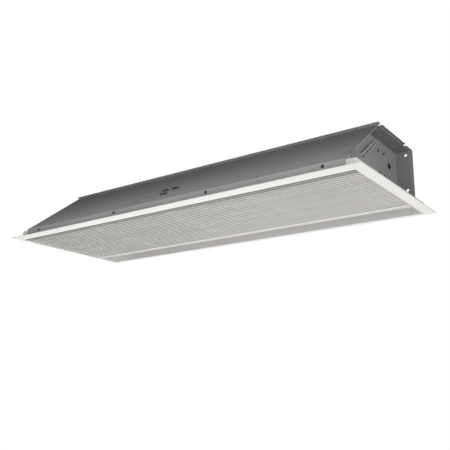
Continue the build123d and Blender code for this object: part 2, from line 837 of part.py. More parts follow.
def bearing_housing(side):
    """Flanged cup on the inside of the end plate."""
    x_cup = drum_end + disc_wall + 1
    x_back = drum_end + disc_wall + bearing_length
    half_y = bearing_screw_y / 2 + screw_head_r
    half_z = bearing_screw_z / 2 + screw_head_r
    base = block((inner_x - housing_base, inner_x), (fan_y - half_y, fan_y + half_y), (fan_z - half_z, fan_z + half_z))
    cup = rod_x(bearing_r + housing_wall, x_cup, inner_x - housing_base + 0.5, fan_y, fan_z)
    housing = base + cup
    housing -= rod_x(bearing_r, x_cup - 1, x_back, fan_y, fan_z)
    housing -= rod_x(stub_r + 2, x_cup - 1, inner_x - 1, fan_y, fan_z)
    for y, z in bearing_screws:
        housing -= rod_x(screw_r + screw_clearance, inner_x - housing_base - 1, inner_x + 1, y, z)
    return one(housing if side > 0 else mirrored(housing))


def grille_bar(y):
    """One bar with a rounded lower edge."""
    r = bar_width / 2
    z0 = bar_bottom
    lower = ThreePointArc((y - r, z0 + r), (y, z0), (y + r, z0 + r))
    sides = Line((y + r, z0 + r), (y + r, bar_top)) + Line((y - r, bar_top), (y - r, z0 + r))
    face = make_face(lower.edges() + sides.edges() + Line((y + r, bar_top), (y - r, bar_top)).edges())
    return extrude(Plane.YZ.offset(-grille_half) * face, 2 * grille_half)


def grille_bars():
    """Evenly spaced bars between the two rails."""
    start = grille_near_y + near_rail_width
    span = grille_far_y - far_rail_width - start
    spaces = round(span / bar_pitch)
    return [grille_bar(start + span * i / spaces) for i in range(1, spaces)]


def grille_rail(y0, y1):
    rail = block((-grille_half, grille_half), (y0, y1), (bar_bottom, bar_top))
    lower = rail.edges().filter_by(Axis.X).filter_by(lambda e: e.center().Z < bar_bottom + 0.1)
    return fillet(lower, bar_width / 2)


def grille_far_rail():
    """Rail beside the divider, bored at its ends for the hinge pins."""
    rail = grille_rail(grille_far_y - far_rail_width, grille_far_y)
    hole = rod_x(hinge_pin_r, grille_half - hinge_pin_hold, grille_half + 1, hinge_y, hinge_z)
    return one(rail - hole - mirrored(hole))


def hinge_pin(side):
    pin = rod_x(hinge_pin_r, grille_half - hinge_pin_hold, upstand_out_x, hinge_y, hinge_z)
    return one(pin if side > 0 else mirrored(pin))


def grille_strap(x):
    """Flat strap across the back of the bars."""
    x0 = x - strap_width / 2
    y = (grille_near_y, hinge_y)
    return block((x0, x0 + strap_width), y, (bar_top, bar_top + strap_wall))


def grille_straps():
    reach = grille_half - strap_width / 2
    step = 2 * reach / (strap_count - 1)
    return [grille_strap(-reach + i * step) for i in range(strap_count)]


def catch_levels():
    """Top of the strike plates, bottom and top of the magnets."""
    strike_top = bar_top + strike_wall
    magnet_bottom = strike_top + magnet_gap
    magnet_top = upstand_top - catch_wall - 1
    return strike_top, magnet_bottom, magnet_top


def catch_span(x):
    """Catches stand beside the straps, on the same side of each."""
    start = x + strap_width / 2 + 2
    return (start, start + catch_length)


def catch_bracket(x):
    magnet_top = catch_levels()[2]
    y_face = -upstand_in_y
    leg = block(catch_span(x), (y_face, y_face + catch_wall), (flange_drop + flange_wall, magnet_top))
    y_end = grille_near_y + near_rail_width
    shelf = block(catch_span(x), (y_face, y_end), (magnet_top, magnet_top + catch_wall))
    return one(leg + shelf)


def catch_magnet(x):
    strike_top, magnet_bottom, magnet_top = catch_levels()
    y_end = grille_near_y + near_rail_width
    return block(catch_span(x), (y_end - catch_depth, y_end), (magnet_bottom, magnet_top))


def strike_plate(x):
    y = (grille_near_y, grille_near_y + near_rail_width)
    return block(catch_span(x), y, (bar_top, bar_top + strike_wall))


def control_box():
    """Tray fixed to the inside of the left-hand end plate, open downwards."""
    x = (inner_x - box_length, inner_x)
    y = (box_y - box_width / 2, box_y + box_width / 2)
    z = (box_bottom, box_bottom + box_height)
    tray = block(x, y, z)
    tray -= block(
        (x[0] + box_wall, x[1] - box_wall), (y[0] + box_wall, y[1] - box_wall), (z[0] - 1, z[1] - box_wall)
    )
    tray -= rod_x(gland_thread_r, x[1] - 2 * box_wall, x[1] + 1, gland_y, gland_z)
    tray -= rod_x(lead_r, x[0] - 1, x[0] + 2 * box_wall, lead_y, lead_z)
    return one(mirrored(tray))


def control_lid():
    """Lid under the tray, with a rim up each long side."""
    x = (inner_x - box_length, inner_x)
    y = (box_y - box_width / 2 - box_wall, box_y + box_width / 2 + box_wall)
    lid = block(x, y, (box_bottom - box_wall, box_bottom))
    for edge in ((y[0], y[0] + box_wall), (y[1] - box_wall, y[1])):
        lid += block(x, edge, (box_bottom - box_wall, box_bottom + lid_rim))
    return one(mirrored(lid))


def terminal_block():
    """A row of screw terminals on the tray's roof."""
    top = box_bottom + box_height - box_wall
    x0 = inner_x - box_length + 12
    y0 = box_y - box_width / 2 + 10
    body = block((x0, x0 + terminal_length), (y0, y0 + terminal_width), (top - terminal_height, top))
    way = terminal_length / terminal_ways
    for i in range(terminal_ways):
        x = x0 + (i + 0.5) * way
        body -= Pos(x, y0 + terminal_width / 2, top - terminal_height) * Cylinder(terminal_screw_r, 8)
    for i in range(1, terminal_ways):
        x = x0 + i * way
        body -= block((x - 0.6, x + 0.6), (y0 - 1, y0 + 6), (top - terminal_height - 1, top - 4))
    return one(mirrored(body))


def capacitor():
    """Run capacitor lying on the tray's roof."""
    x0 = inner_x - box_length + 12
    y = box_y + box_width / 2 - capacitor_r - 6
    z = box_bottom + box_height - box_wall - capacitor_r
    can = rod_x(capacitor_r, x0, x0 + capacitor_length, y, z)
    can = fillet(can.edges(), 2)
    return one(mirrored(can))


def cable_gland():
    """Screwed gland body with a hexagon, a domed cap and a through bore."""
    x0 = inner_x - gland_tail
    hexagon = extrude(Plane.YZ.offset(plate_x) * RegularPolygon(gland_flat, 6, major_radius=False), gland_nut)
    cap = extrude(Plane.YZ.offset(plate_x + gland_nut) * Circle(gland_cap_r), gland_cap)
    cap = fillet(cap.edges().group_by(Axis.X)[-1], 4)
    tail = extrude(Plane.YZ.offset(x0) * Circle(gland_thread_r), plate_x - x0)
    body = hexagon + cap + tail
    body -= extrude(Plane.YZ.offset(x0 - 1) * Circle(gland_bore_r), gland_tail + gland_cap + 40)
    return one(mirrored(Pos(0, gland_y, gland_z) * body))


def gland_locknut():
    x1 = inner_x - box_wall
    nut = extrude(Plane.YZ.offset(x1 - gland_nut) * RegularPolygon(gland_flat, 6, major_radius=False), gland_nut)
    nut -= extrude(Plane.YZ.offset(x1 - gland_nut - 1) * Circle(gland_thread_r), gland_nut + 2)
    return one(mirrored(Pos(0, gland_y, gland_z) * nut))


def motor_lead():
    """Cable from the wiring compartment to the side of the motor."""
    start = (-inner_x + box_length - box_wall, lead_y, lead_z)
    corner = (0, lead_y, lead_z)
    end = (0, fan_y - motor_r - lead_gland_reach / 2, lead_z)
    path = FilletPolyline(start, corner, end, radius=lead_bend)
    section = Plane(origin=start, z_dir=(1, 0, 0)) * Circle(lead_r)
    return one(sweep(section, path=path))


def lead_gland():
    """Moulded strain relief where the lead enters the motor."""
    outer_r = lead_r + lead_gland_wall
    y0 = fan_y - motor_r - lead_gland_reach
    sleeve = rod_y(outer_r, y0, fan_y, 0, lead_z)
    sleeve -= rod_y(lead_r, y0 - 1, y0 + lead_gland_reach / 2, 0, lead_z)
    sleeve -= rod_x(motor_r + seat_gap, -motor_length, motor_length, fan_y, fan_z)
    return one(sleeve.solids().sort_by(Axis.Y)[0])


def lead_clips():
    """Saddles that hold the lead to the sloping side."""
    run, depth = slope_coordinates(lead_y, lead_z)
    clips = []
    for x in (-inner_x + box_length + 2 * lead_bend, -3 * lead_bend):
        half = clip_length / 2
        ring = rod_x(lead_r + clip_wall, x - half, x + half, lead_y, lead_z)
        stem = Box(clip_length, 2 * clip_wall, depth - sheet)
        stem = slope_plane(x, run, (depth + sheet) / 2) * stem
        clips.append(one(ring + stem - rod_x(lead_r, x - half - 1, x + half + 1, lead_y, lead_z)))
    return clips


def build():
    os.makedirs("parts", exist_ok=True)
    save("trim_rail_near", long_rail(-1))
    save("trim_rail_far", long_rail(1))
    save("trim_rail_left", end_rail_section(-1))
    save("trim_rail_right", end_rail_section(1))
    save("corner_keys", *[corner_key(i, j) for i in (-1, 1) for j in (-1, 1)])
    save("slope_panel", slope_panel())
    save("top_cover", top_cover())
    for name, side in (("left", -1), ("right", 1)):
        save(f"end_pan_{name}", end_pan(side))
        save(f"end_channel_{name}", end_channel(side))
        save(f"fan_drum_{name}", fan_drum(side))
        save(f"drum_hub_{name}", drum_hub(side))
        save(f"motor_hanger_{name}", motor_hanger(side))
        save(f"bearing_housing_{name}", bearing_housing(side))
    save("corner_bracket", corner_bracket())
    save("threaded_inserts", threaded_insert(-1), threaded_insert(1))
    save("skirt_screws", *skirt_screws())
    save("bearing_plate_screws", *bearing_plate_screws())
    save("slope_rivets", *slope_rivets())
    save("scroll_shell", scroll_shell())
    save("tongue_shell", tongue_shell())
    save("divider", divider())
    save("nozzle_outer_wall", nozzle_outer_wall())
    save("nozzle_ends", nozzle_end(-1), nozzle_end(1))
    inner_y, outer_y = vane_ys()
    save("vane_inner", vane(inner_y))
    save("vane_outer", vane(outer_y))
    save("motor_shaft", motor_shaft())
    save("motor_stator", motor_stator())
    save("motor_bells", motor_bell(-1), motor_bell(1))
    save("motor_mount_rings", mount_ring(-1), mount_ring(1))
    save("end_bearings", end_bearing(-1), end_bearing(1))
    save("grille_bars", *grille_bars())
    save("grille_near_rail", grille_rail(grille_near_y, grille_near_y + near_rail_width))
    save("grille_far_rail", grille_far_rail())
    save("grille_straps", *grille_straps())
    save("hinge_pins", hinge_pin(-1), hinge_pin(1))
    save("catch_brackets", *[catch_bracket(x) for x in catch_x])
    save("catch_magnets", *[catch_magnet(x) for x in catch_x])
    save("strike_plates", *[strike_plate(x) for x in catch_x])
    save("control_box", control_box())
    save("control_lid", control_lid())
    save("terminal_block", terminal_block())
    save("capacitor", capacitor())
    save("cable_gland", cable_gland())
    save("gland_locknut", gland_locknut())
    save("motor_lead", motor_lead())
    save("lead_gland", lead_gland())
    save("lead_clips", *lead_clips())


build()
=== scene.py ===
import bpy
import bmesh
import json
import math
from mathutils import Matrix, Vector


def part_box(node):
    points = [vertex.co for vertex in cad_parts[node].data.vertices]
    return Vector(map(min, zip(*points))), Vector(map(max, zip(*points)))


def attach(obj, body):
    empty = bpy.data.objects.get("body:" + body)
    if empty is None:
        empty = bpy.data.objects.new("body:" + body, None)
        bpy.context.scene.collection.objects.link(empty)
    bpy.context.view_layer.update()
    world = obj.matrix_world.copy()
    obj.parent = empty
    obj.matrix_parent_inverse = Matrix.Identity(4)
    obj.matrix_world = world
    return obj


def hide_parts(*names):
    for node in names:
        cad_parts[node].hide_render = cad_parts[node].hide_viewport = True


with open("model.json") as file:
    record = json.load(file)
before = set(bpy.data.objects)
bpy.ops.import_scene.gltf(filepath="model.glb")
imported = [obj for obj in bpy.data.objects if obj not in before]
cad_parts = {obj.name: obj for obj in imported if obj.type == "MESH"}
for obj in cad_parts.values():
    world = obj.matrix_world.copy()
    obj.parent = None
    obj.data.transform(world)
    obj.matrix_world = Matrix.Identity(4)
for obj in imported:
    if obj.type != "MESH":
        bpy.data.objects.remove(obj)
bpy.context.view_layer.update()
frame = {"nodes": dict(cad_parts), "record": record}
bpy.context.scene.view_settings.view_transform = "Standard"

MM = 0.001

# The casing's sloping side: the foot of its outer face, and the directions up it and out of it
SLOPE_ANGLE = math.radians(37.8)
SLOPE_FOOT = Vector((0, -0.2037, 0.030))
UP_SLOPE = Vector((0, math.cos(SLOPE_ANGLE), math.sin(SLOPE_ANGLE)))
OFF_SLOPE = Vector((0, -math.sin(SLOPE_ANGLE), math.cos(SLOPE_ANGLE)))

BAR_COUNT = 24
BAR_WIDTH = 2.4 * MM
BAR_EDGE = 0.6 * MM

SCREW_HEAD_RADIUS = 4 * MM
SCREW_HEAD_HEIGHT = 2.4 * MM
SCREW_SHANK_RADIUS = 2 * MM
SKIRT_SHANK = 3.2 * MM
BEARING_SHANK = 4.7 * MM
SKIRT_SCREWS_A_SIDE = 4

# Each hood's middle in X, its run up the slope and its half width, in millimetres
TIE_HOODS = ((-10, 45, 10), (-27, 78, 9), (9, 78, 9))
HOOD_DEPTH = 11
HOOD_MOUTH = 4.5
HOOD_RISE = 4.6
HOOD_CLEARANCE = 0.35
HOOD_WALL = 0.6 * MM

# The camera that took the photo, as solved from the trim's corners
PHOTO_PIXELS = 450
FOCAL_PIXELS = 646.95
SENSOR_WIDTH = 36
CAMERA_PLACE = (1.1194, -1.3967, -0.4766)
CAMERA_TURN, CAMERA_RISE, CAMERA_ROLL = (math.radians(a) for a in (36.875, -15.21, 0.863))


# Finishes

class Finish:
    """A procedural finish on Object coordinates, so its grain stays fixed to the piece."""

    def __init__(self, name, roughness, metallic=0.0, specular=0.5):
        self.material = bpy.data.materials.new(name)
        self.material.use_nodes = True
        self.tree = self.material.node_tree
        self.shader = self.tree.nodes["Principled BSDF"]
        self.shader.inputs["Roughness"].default_value = roughness
        self.shader.inputs["Metallic"].default_value = metallic
        self.shader.inputs["Specular IOR Level"].default_value = specular
        self.coords = self.tree.nodes.new("ShaderNodeTexCoord").outputs["Object"]

    def node(self, kind, **inputs):
        """A shader node: inputs are values or sockets by name."""
        made = self.tree.nodes.new(kind)
        for name, value in inputs.items():
            socket = made.inputs[name.replace("_", " ")]
            if isinstance(value, bpy.types.NodeSocket):
                self.tree.links.new(value, socket)
            else:
                socket.default_value = value
        return made

    def stretched(self, x=1.0, y=1.0, z=1.0):
        """The coordinates scaled along each axis, for grain that runs one way."""
        return self.node("ShaderNodeMapping", Vector=self.coords, Scale=(x, y, z)).outputs["Vector"]

    def noise(self, scale, detail=3.0, along=None):
        made = self.node("ShaderNodeTexNoise", Scale=scale, Detail=detail, Roughness=0.55)
        self.tree.links.new(along or self.coords, made.inputs["Vector"])
        return made.outputs["Fac"]

    def crystals(self, scale):
        """A random level for each cell, as in the spangle of zinc."""
        cells = self.node("ShaderNodeTexVoronoi", Scale=scale)
        self.tree.links.new(self.coords, cells.inputs["Vector"])
        return self.node("ShaderNodeSeparateColor", Color=cells.outputs["Color"]).outputs["Red"]

    def spread(self, value, low, high, low_in=0.3, high_in=0.7):
        """The value's range from low_in to high_in, mapped to low and high."""
        made = self.node("ShaderNodeMapRange", Value=value)
        made.inputs["From Min"].default_value = low_in
        made.inputs["From Max"].default_value = high_in
        made.inputs["To Min"].default_value = low
        made.inputs["To Max"].default_value = high
        return made.outputs["Result"]

    def blend(self, factor, first, second):
        """One colour into the other, through the Mix node's colour sockets: 6, 7 and result 2."""
        made = self.tree.nodes.new("ShaderNodeMix")
        made.data_type = "RGBA"
        self.tree.links.new(factor, made.inputs[0])
        for socket, value in ((made.inputs[6], first), (made.inputs[7], second)):
            if isinstance(value, bpy.types.NodeSocket):
                self.tree.links.new(value, socket)
            else:
                socket.default_value = (*value, 1.0)
        return made.outputs[2]

    def colour(self, value):
        self.tree.links.new(value, self.shader.inputs["Base Color"])

    def gloss(self, value):
        self.tree.links.new(value, self.shader.inputs["Roughness"])

    def relief(self, height, distance, strength=1.0, below=None):
        """Bump of the given depth in metres, on top of an earlier one if there is one below."""
        made = self.node("ShaderNodeBump", Strength=strength, Distance=distance, Height=height)
        if below is not None:
            self.tree.links.new(below, made.inputs["Normal"])
        self.tree.links.new(made.outputs["Normal"], self.shader.inputs["Normal"])
        return made.outputs["Normal"]


def powder_coat():
    """White powder coat with a fine orange peel."""
    f = Finish("white_powder_coat", 0.42, specular=0.4)
    f.colour(f.blend(f.spread(f.noise(9.0, 4), 0.0, 1.0), (0.80, 0.785, 0.76), (0.85, 0.835, 0.81)))
    f.gloss(f.spread(f.noise(420.0, 2), 0.36, 0.5))
    f.relief(f.noise(900.0, 2), 0.00006, 0.5)
    return f.material


def casing_sheet(name, dark, light):
    """Satin grey sheet: rolling grain along the length, soft cloudiness and faint crystals of the zinc below."""
    f = Finish(name, 0.5, metallic=0.05, specular=0.15)
    rolled = f.noise(60.0, 5, f.stretched(0.06, 1, 1))
    cloud = f.noise(5.0, 4, f.stretched(0.6, 1, 1))
    base = f.blend(f.spread(cloud, 0.0, 1.0), dark, light)
    lighter = tuple(1.3 * c for c in light)
    f.colour(f.blend(f.spread(f.crystals(95.0), 0.0, 0.12, 0.0, 1.0), base, lighter))
    f.gloss(f.spread(rolled, 0.4, 0.55))
    fine = f.relief(f.noise(1400.0, 2, f.stretched(0.05, 1, 1)), 0.00002, 0.4)
    f.relief(cloud, 0.0004, 0.05, below=fine)
    return f.material


def zinc_sheet():
    """Bright galvanised sheet with spangle."""
    f = Finish("galvanised_sheet", 0.38, metallic=0.85)
    crystal = f.crystals(120.0)
    f.colour(f.blend(f.spread(crystal, 0.0, 1.0, 0.1, 0.9), (0.50, 0.51, 0.52), (0.66, 0.67, 0.68)))
    f.gloss(f.spread(crystal, 0.32, 0.48, 0.0, 1.0))
    f.relief(f.noise(500.0, 2), 0.00003, 0.4)
    return f.material


def drawn_aluminium(name, low, high, roughness, metallic):
    """Anodised extrusion with die lines along its length."""
    f = Finish(name, roughness, metallic=metallic)
    lines = f.noise(800.0, 3, f.stretched(0.004, 1, 1))
    f.colour(f.blend(f.spread(f.noise(30.0, 3, f.stretched(0.05, 1, 1)), 0.0, 1.0), low, high))
    f.gloss(f.spread(lines, roughness - 0.08, roughness + 0.1))
    f.relief(lines, 0.00003, 0.5)
    return f.material


def zinc_plate():
    """Bright zinc plating on small fixings."""
    f = Finish("zinc_plated_steel", 0.3, metallic=0.9)
    f.colour(f.blend(f.spread(f.noise(260.0, 3), 0.0, 1.0), (0.46, 0.46, 0.45), (0.62, 0.62, 0.60)))
    f.gloss(f.spread(f.noise(700.0, 2), 0.24, 0.42))
    f.relief(f.noise(1500.0, 2), 0.00002, 0.5)
    return f.material


def dark_plate():
    """Dark passivated plating on the casing's screws, also laid on the tie hoods as painted shade."""
    f = Finish("dark_passivated_screw_and_painted_shade", 0.35, metallic=0.6)
    f.colour(f.blend(f.spread(f.noise(300.0, 3), 0.0, 1.0), (0.030, 0.030, 0.032), (0.070, 0.070, 0.072)))
    f.gloss(f.spread(f.noise(800.0, 2), 0.28, 0.46))
    f.relief(f.noise(1500.0, 2), 0.00002, 0.5)
    return f.material


def blade_sheet():
    """Thin rolled aluminium of the fan drums, a little dusty."""
    f = Finish("rolled_blade_sheet", 0.35, metallic=0.8)
    dust = f.noise(45.0, 5)
    f.colour(f.blend(f.spread(dust, 0.0, 1.0, 0.35, 0.75), (0.60, 0.61, 0.62), (0.48, 0.47, 0.45)))
    f.gloss(f.spread(dust, 0.28, 0.55))
    f.relief(f.noise(900.0, 2, f.stretched(0.02, 1, 1)), 0.00002, 0.4)
    return f.material


def cast_alloy():
    """Sand-textured die casting of the motor's bells."""
    f = Finish("cast_motor_bell", 0.5, metallic=0.7)
    grit = f.noise(650.0, 3)
    f.colour(f.blend(f.spread(grit, 0.0, 1.0), (0.26, 0.27, 0.28), (0.36, 0.37, 0.38)))
    f.gloss(f.spread(grit, 0.42, 0.62))
    f.relief(grit, 0.00012, 0.6)
    return f.material


def motor_paint():
    """Dark dipped paint on the motor's finned core."""
    f = Finish("dipped_motor_paint", 0.42, specular=0.45)
    f.colour(f.blend(f.spread(f.noise(40.0, 4), 0.0, 1.0), (0.020, 0.022, 0.026), (0.040, 0.043, 0.048)))
    f.gloss(f.spread(f.noise(120.0, 3), 0.34, 0.5))
    f.relief(f.noise(300.0, 3), 0.00008, 0.4)
    return f.material


def moulded(name, low, high, roughness, grain=700.0, depth=0.00006):
    """Moulded plastic or rubber with a spark-eroded grain."""
    f = Finish(name, roughness, specular=0.4)
    f.colour(f.blend(f.spread(f.noise(60.0, 3), 0.0, 1.0), low, high))
    f.gloss(f.spread(f.noise(grain / 3, 2), roughness - 0.06, roughness + 0.08))
    f.relief(f.noise(grain, 2), depth, 0.5)
    return f.material


def sintered_bronze():
    """Porous oil-filled bronze."""
    f = Finish("sintered_bronze", 0.42, metallic=0.85)
    pores = f.noise(1300.0, 2)
    f.colour(f.blend(f.spread(pores, 0.0, 1.0, 0.4, 0.6), (0.30, 0.19, 0.09), (0.52, 0.36, 0.18)))
    f.gloss(f.spread(pores, 0.34, 0.55))
    f.relief(pores, 0.00005, 0.6)
    return f.material


finishes = {
    "white_trim": powder_coat(),
    "dark_sheet": casing_sheet("grey_casing_sheet", (0.330, 0.333, 0.336), (0.400, 0.403, 0.406)),
    "end_sheet": casing_sheet("grey_end_sheet", (0.290, 0.295, 0.295), (0.360, 0.365, 0.365)),
    "duct_sheet": zinc_sheet(),
    "grille": drawn_aluminium("anodised_intake_bar", (0.68, 0.667, 0.65), (0.76, 0.745, 0.727), 0.36, 0.3),
    "nozzle": drawn_aluminium("anodised_nozzle", (0.77, 0.756, 0.740), (0.83, 0.816, 0.80), 0.42, 0.1),
    "steel_parts": zinc_plate(),
    "blades": blade_sheet(),
    "motor_cast": cast_alloy(),
    "motor_core": motor_paint(),
    "rubber": moulded("black_rubber", (0.010, 0.010, 0.010), (0.020, 0.020, 0.019), 0.62, 500.0),
    "black_plastic": moulded("black_nylon", (0.012, 0.012, 0.013), (0.022, 0.022, 0.023), 0.45),
    "white_plastic": moulded("cream_plastic", (0.62, 0.60, 0.54), (0.70, 0.68, 0.62), 0.42),
    "magnet": moulded("ferrite", (0.020, 0.019, 0.019), (0.035, 0.034, 0.033), 0.5, 900.0, 0.00004),
    "bronze": sintered_bronze(),
    "dark_fixing_and_painted_shade": dark_plate(),
    # A darker copy of the casing sheet: painted shade on the corner bracket.
    "bracket_painted_shade": casing_sheet("grey_bracket_painted_shade", (0.13, 0.131, 0.132), (0.19, 0.191, 0.192)),
    # A lighter copy of the casing sheet: painted light on the end channels.
    "channel_painted_light": casing_sheet("grey_channel_painted_light", (0.44, 0.443, 0.443), (0.52, 0.523, 0.523)),
}

# Nodes with another finish than their slot's
looks = {
    # Painted shade: the corner bracket in a darker copy of the casing sheet.
    "corner_bracket": "bracket_painted_shade",
    # Painted shade: the grille's near rail takes the darker end-pan sheet so that it reads as the shadow gap along
    # the grille's near edge.
    "grille_near_rail": "end_sheet",
    "corner_keys": "white_trim",
    "threaded_inserts": "dark_fixing_and_painted_shade",
    # Painted light: the end channels in a lighter copy of the casing sheet.
    "end_channel_left": "channel_painted_light",
    "end_channel_right": "channel_painted_light",
}


# Meshes and pieces

def mesh_piece(name, mesh, finish, body, stands_for=(), sharp=35):
    """A plain mesh as a piece of the object, in a finish that may differ from its record slot's."""
    mesh.name = name
    mesh.shade_smooth()
    mesh.set_sharp_from_angle(angle=math.radians(sharp))
    mesh.materials.clear()
    mesh.materials.append(finishes[finish])
    piece = bpy.data.objects.new(name, mesh)
    bpy.context.scene.collection.objects.link(piece)
    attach(piece, body)
    if stands_for:
        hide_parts(*stands_for)
    return piece


def turned(name, profile, segments=32):
    """A closed solid turned about +Z from (radius, height) points that run from the top's centre to the bottom's."""
    b = bmesh.new()
    rings = []
    for radius, height in profile:
        if radius == 0:
            rings.append([b.verts.new((0, 0, height))])
            continue
        angles = [2 * math.pi * i / segments for i in range(segments)]
        rings.append([b.verts.new((radius * math.cos(a), radius * math.sin(a), height)) for a in angles])
    for upper, lower in zip(rings, rings[1:]):
        for i in range(segments):
            j = (i + 1) % segments
            corners = [upper[i % len(upper)], lower[i % len(lower)], lower[j % len(lower)], upper[j % len(upper)]]
            b.faces.new(list(dict.fromkeys(corners)))
    bmesh.ops.recalc_face_normals(b, faces=b.faces)
    mesh = bpy.data.meshes.new(name)
    b.to_mesh(mesh)
    b.free()
    return mesh


def helper(name, mesh):
    """An object that a modifier or a tree works on, removed before the scene is finished."""
    made = bpy.data.objects.new(name, mesh)
    bpy.context.scene.collection.objects.link(made)
    return made


def settled(obj):
    """The object's shape with its modifiers applied, as a new mesh. The object goes."""
    bpy.context.view_layer.update()
    seen = obj.evaluated_get(bpy.context.evaluated_depsgraph_get())
    mesh = bpy.data.meshes.new_from_object(seen)
    obj.modifiers.clear()
    bpy.data.objects.remove(obj)
    return mesh


def cross_recessed_head(shank):
    """A pan-head screw with a tapered cross recess in its head and a shank of the given length."""
    radius, height, shank_radius = SCREW_HEAD_RADIUS, SCREW_HEAD_HEIGHT, SCREW_SHANK_RADIUS
    profile = [
        (0, height), (radius * 0.42, height * 0.98), (radius * 0.7, height * 0.86),
        (radius * 0.88, height * 0.62), (radius * 0.98, height * 0.3), (radius, 0), (shank_radius, 0),
        (shank_radius, -shank), (0, -shank),
    ]
    head = helper("head", turned("head", profile))
    b = bmesh.new()
    top, bottom, width = radius * 0.56, radius * 0.3, radius * 0.13
    for turn in (0, math.pi / 2):
        corners = []
        for z, reach in ((height * 1.2, top), (height * 0.3, bottom)):
            for x, y in ((-reach, -width), (reach, -width), (reach, width), (-reach, width)):
                corners.append(b.verts.new(Matrix.Rotation(turn, 3, "Z") @ Vector((x, y, z))))
        for ids in ((0, 1, 2, 3), (7, 6, 5, 4), (0, 4, 5, 1), (1, 5, 6, 2), (2, 6, 7, 3), (3, 7, 4, 0)):
            b.faces.new([corners[i] for i in ids])
    bmesh.ops.recalc_face_normals(b, faces=b.faces)
    mesh = bpy.data.meshes.new("recess")
    b.to_mesh(mesh)
    b.free()
    recess = helper("recess", mesh)
    cut = head.modifiers.new("recess", "BOOLEAN")
    cut.operation = "DIFFERENCE"
    cut.solver = "EXACT"
    cut.use_self = True
    cut.object = recess
    mesh = settled(head)
    bpy.data.objects.remove(recess)
    return mesh


def geometry_tree(name, **inputs):
    """A Geometry Nodes tree with a geometry in and out, and the named inputs of the kinds given."""
    tree = bpy.data.node_groups.new(name, "GeometryNodeTree")
    tree.interface.new_socket("Geometry", in_out="OUTPUT", socket_type="NodeSocketGeometry")
    for label, kind in {"Geometry": "Geometry", **inputs}.items():
        tree.interface.new_socket(label.replace("_", " "), in_out="INPUT", socket_type="NodeSocket" + kind)
    return tree


def step(tree, kind, settings=None, **links):
    """A node of a tree: settings are its properties, links its inputs by name."""
    made = tree.nodes.new(kind)
    for key, value in (settings or {}).items():
        setattr(made, key, value)
    for key, value in links.items():
        socket = made.inputs[key.replace("_", " ")]
        if isinstance(value, bpy.types.NodeSocket):
            tree.links.new(value, socket)
        else:
            socket.default_value = value
    return made


def grow(tree, carrier, values):
    """The mesh that a tree makes on a carrier object, its inputs set by the socket's identifier."""
    grown = carrier.modifiers.new(tree.name, "NODES")
    grown.node_group = tree
    for item in tree.interface.items_tree:
        if item.item_type == "SOCKET" and item.in_out == "INPUT" and item.name in values:
            grown[item.identifier] = values[item.name]
    return settled(carrier)


def fixing_tree():
    """Copies of one fixing on a carrier's points, each turned as its point says."""
    tree = geometry_tree("fixings_on_points", Fixing="Object", Finish="Material")
    given = step(tree, "NodeGroupInput").outputs
    shape = step(tree, "GeometryNodeObjectInfo", Object=given["Fixing"]).outputs["Geometry"]
    turn = step(tree, "GeometryNodeInputNamedAttribute", {"data_type": "FLOAT_VECTOR"}, Name="turn")
    turn_out = [o for o in turn.outputs if o.name == "Attribute" and o.enabled][0]
    to_rotation = step(tree, "FunctionNodeEulerToRotation", Euler=turn_out).outputs[0]
    placed = step(
        tree, "GeometryNodeInstanceOnPoints", Points=given["Geometry"], Instance=shape, Rotation=to_rotation
    ).outputs["Instances"]
    real = step(tree, "GeometryNodeRealizeInstances", Geometry=placed).outputs["Geometry"]
    out = step(tree, "GeometryNodeSetMaterial", Geometry=real, Material=given["Finish"]).outputs["Geometry"]
    step(tree, "NodeGroupOutput", Geometry=out)
    return tree


fixings = fixing_tree()


def fixing_row(name, shape, places, finish, stands_for):
    """Fixings of the casing at (point, direction, roll) places, +Z of the shape along the direction."""
    carrier_mesh = bpy.data.meshes.new(name + "_points")
    carrier_mesh.from_pydata([point for point, _, _ in places], [], [])
    turns = carrier_mesh.attributes.new("turn", "FLOAT_VECTOR", "POINT")
    for i, (point, direction, roll) in enumerate(places):
        aimed = Vector(direction).to_track_quat("Z", "Y").to_matrix() @ Matrix.Rotation(roll, 3, "Z")
        turns.data[i].vector = aimed.to_euler()
    source = helper(name + "_shape", shape)
    carrier = helper(name + "_carrier", carrier_mesh)
    mesh = grow(fixings, carrier, {"Fixing": source, "Finish": finishes[finish]})
    bpy.data.objects.remove(source)
    return mesh_piece(name, mesh, finish, "casing", stands_for)


def bar_tree():
    """Parallel bars with rounded edges: one drawn profile, repeated across the grille."""
    tree = geometry_tree(
        "parallel_bars", Bars="Int", First="Vector", Pitch="Vector", Half_Length="Vector", Width="Float",
        Height="Float", Edge="Float", Finish="Material"
    )
    given = step(tree, "NodeGroupInput").outputs
    back = step(tree, "ShaderNodeVectorMath", {"operation": "SCALE"})
    tree.links.new(given["Half Length"], back.inputs[0])
    back.inputs["Scale"].default_value = -1.0
    line = step(tree, "GeometryNodeCurvePrimitiveLine", Start=back.outputs[0], End=given["Half Length"])
    outline = step(tree, "GeometryNodeCurvePrimitiveQuadrilateral", Width=given["Width"], Height=given["Height"])
    rounded = step(
        tree, "GeometryNodeFilletCurve", {"mode": "POLY"}, Curve=outline.outputs["Curve"], Count=4,
        Radius=given["Edge"]
    )
    bar = step(
        tree, "GeometryNodeCurveToMesh", Curve=line.outputs["Curve"], Profile_Curve=rounded.outputs["Curve"],
        Fill_Caps=True
    )
    row = step(
        tree, "GeometryNodeMeshLine", {"mode": "OFFSET"}, Count=given["Bars"], Start_Location=given["First"],
        Offset=given["Pitch"]
    )
    placed = step(tree, "GeometryNodeInstanceOnPoints", Points=row.outputs["Mesh"], Instance=bar.outputs["Mesh"])
    real = step(tree, "GeometryNodeRealizeInstances", Geometry=placed.outputs["Instances"]).outputs["Geometry"]
    out = step(tree, "GeometryNodeSetMaterial", Geometry=real, Material=given["Finish"]).outputs["Geometry"]
    step(tree, "NodeGroupOutput", Geometry=out)
    return tree


# Intake bars

